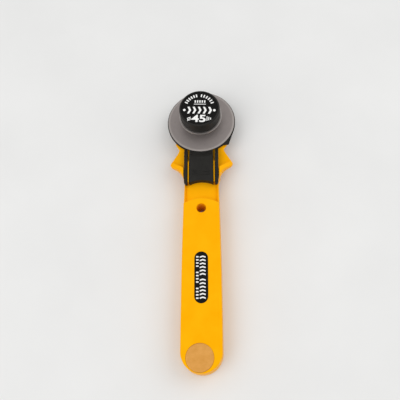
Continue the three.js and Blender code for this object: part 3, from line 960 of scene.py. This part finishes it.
# ---------------------------------------------------------------- generic printed marks
def merge(name, parts):
    """One object from several."""
    points, faces = [], []
    for part in parts:
        start = len(points)
        points += [tuple(v.co / MM) for v in part.data.vertices]
        faces += [tuple(start + k for k in face.vertices) for face in part.data.polygons]
        bpy.data.objects.remove(part)
    return new_object(name, points, faces)


def patch(corners, low, high, radius=0.12):
    """A thin printed shape from its corners."""
    outline = clean(rounded([(x, y, radius) for x, y in corners], 3))
    return plate("patch", outline, [(low, 0), (high, 0)])


def turned_about(x, y, shape, turn):
    """A shape's corners, turned by degrees and moved to (x, y)."""
    a = math.radians(turn)
    return [(x + px * math.cos(a) - py * math.sin(a), y + px * math.sin(a) + py * math.cos(a))
            for px, py in shape]


def rectangle(x, y, half_x, half_y, turn=0.0):
    """Corners of a rectangle about (x, y), turned by degrees."""
    shape = [(-half_x, -half_y), (half_x, -half_y), (half_x, half_y), (-half_x, half_y)]
    return turned_about(x, y, shape, turn)


def dot(x, y, radius, low, high):
    outline = [(x + px, y + py) for px, py in arc(0, 0, radius, 0, 360, 28)[:-1]]
    return plate("dot", outline, [(low, 0), (high, 0)])


def number(text, x, y, height, widen, low, high):
    """A number, its middle at (x, y), its digits widened by a factor."""
    curve = bpy.data.curves.new("number", "FONT")
    curve.body = text
    curve.align_x, curve.align_y = "CENTER", "CENTER"
    curve.size = height * 1.38
    curve.offset = 0.035 * height
    curve.extrude = (high - low) / 2
    curve.resolution_u = 4
    holder = bpy.data.objects.new("number", curve)
    bpy.context.scene.collection.objects.link(holder)
    graph = bpy.context.evaluated_depsgraph_get()
    mesh = bpy.data.meshes.new_from_object(holder.evaluated_get(graph))
    points = [(v.co.x * widen + x, v.co.y + y, v.co.z + (low + high) / 2) for v in mesh.vertices]
    faces = [tuple(p.vertices) for p in mesh.polygons]
    bpy.data.objects.remove(holder)
    return new_object("number", points, faces)


def chevron(x, y, half, reach, stroke, turn):
    """Corners of a chevron about (x, y), that points turn degrees from +X."""
    shape = [(-reach / 2, -half), (-reach / 2 + stroke, -half), (reach / 2 + stroke / 2, 0),
             (-reach / 2 + stroke, half), (-reach / 2, half), (reach / 2 - stroke / 2, 0)]
    return turned_about(x, y, shape, turn)


def knob_marks():
    """Ticks round the top, a short underlined row, a bold row of chevrons between dots, and the size."""
    low, high = face_high.z - 0.5, face_high.z
    parts = []
    for first, last in ((155, 103), (83, 26)):
        for i in range(6):
            angle = first + (last - first) * i / 5
            a = math.radians(angle)
            middle = (-0.2 + 9.4 * math.cos(a), 9.4 * math.sin(a))
            parts.append(patch(rectangle(*middle, 1.05, 0.42, angle), low, high))
    for i in range(5):
        parts.append(patch(rectangle(-2.9 + 1.55 * i, 4.9, 0.42, 0.9), low, high, 0.08))
    parts.append(patch(rectangle(0.2, 2.9, 3.9, 0.22), low, high, 0.08))
    for i in range(5):
        parts.append(patch(chevron(-6.9 + 3.4 * i, -1.6, 2.5, 1.9, 1.35, 0), low, high))
    for x in (-9.75, 9.9):
        parts.append(dot(x, -1.5, 0.85, low, high))
    parts.append(number("45", 0.1, -7.95, 5.1, 1.36, low, high))
    ring = dot(-6.35, -8.0, 1.15, low, high)
    cut(ring, dot(-6.35, -8.0, 0.75, low - 1, high + 1))
    parts.append(ring)
    parts.append(patch(rectangle(-6.35, -8.0, 0.17, 1.8, -32), low, high, 0.05))
    for i in range(3):
        parts.append(patch(rectangle(5.4 + 1.15 * i, -7.7, 0.28, 1.6 - 0.45 * i), low, high, 0.06))
    marks = merge("knob_marks", parts)
    turned = Matrix.Rotation(math.radians(KNOB_TURN), 4, "Z")
    for vertex in marks.data.vertices:
        place = turned @ vertex.co
        height = crown(math.hypot(place.x, place.y) / MM)
        height += 0.035 if place.z > (low + high) / 2 * MM else -0.05
        vertex.co = (place.x, place.y + HEAD_Y * MM, height * MM)
    return marks


def label_marks():
    """Two groups of six bold chevrons that point to the head, beside a column of small blocks."""
    low, high = label_high.z - 0.05, label_high.z + 0.03
    middle = (label_low.y + label_high.y) / 2
    parts = []
    for group in (-1, 1):
        for i in range(6):
            y = middle - 0.25 + group * (1.75 + 2.2 * i)
            parts.append(patch(chevron(0.9, y, 1.8, 1.0, 0.85, 90), low, high, 0.08))
    for i in range(14):
        if i in (4, 9):
            continue
        parts.append(patch(rectangle(-2.4, label_high.y - 3.3 - 1.98 * i, 0.75, 0.42), low, high, 0.1))
    return merge("label_marks", parts)


# ---------------------------------------------------------------- assembly
make_camera()
make_floor(floor_paper())
make_light()

YELLOW, BLACK, INK = yellow_plastic(), black_plastic(), label_black()
BLADE, STEEL, TAN, BUSH, WHITE = blade_steel(), bolt_steel(), tan_disc(), acetal(), mark_white()

finish_piece(front_shell(), YELLOW, "handle", ["handle_front_shell"])
finish_piece(rear_cover(), YELLOW, "handle", ["handle_rear_cover"])
finish_piece(label(), INK, "handle", ["handle_label"])
finish_piece(label_marks(), WHITE, "handle")
finish_piece(end_badge(), TAN, "handle", ["end_badge"])
finish_piece(blade_guard(), BLACK, "guard", ["blade_guard"])
finish_piece(blade(), BLADE, "blade", ["blade"], FINE_CREASE)
finish_piece(blade_bush(), BUSH, "handle", ["blade_bush"])
finish_piece(bolt(), STEEL, "handle", ["bolt"])
finish_piece(knob_cap(), BLACK, "handle", ["knob_cap"])
finish_piece(knob_face(), INK, "handle", ["knob_face_disc"])
finish_piece(knob_marks(), WHITE, "handle")
finish_piece(rear_washer(), STEEL, "washers", ["rear_washer"])
finish_piece(wave_washer(), STEEL, "washers", ["wave_washer"])
finish_piece(nut_insert(), STEEL, "nut", ["nut_insert"])
finish_piece(nut(), BLACK, "nut", ["nut_cap"])
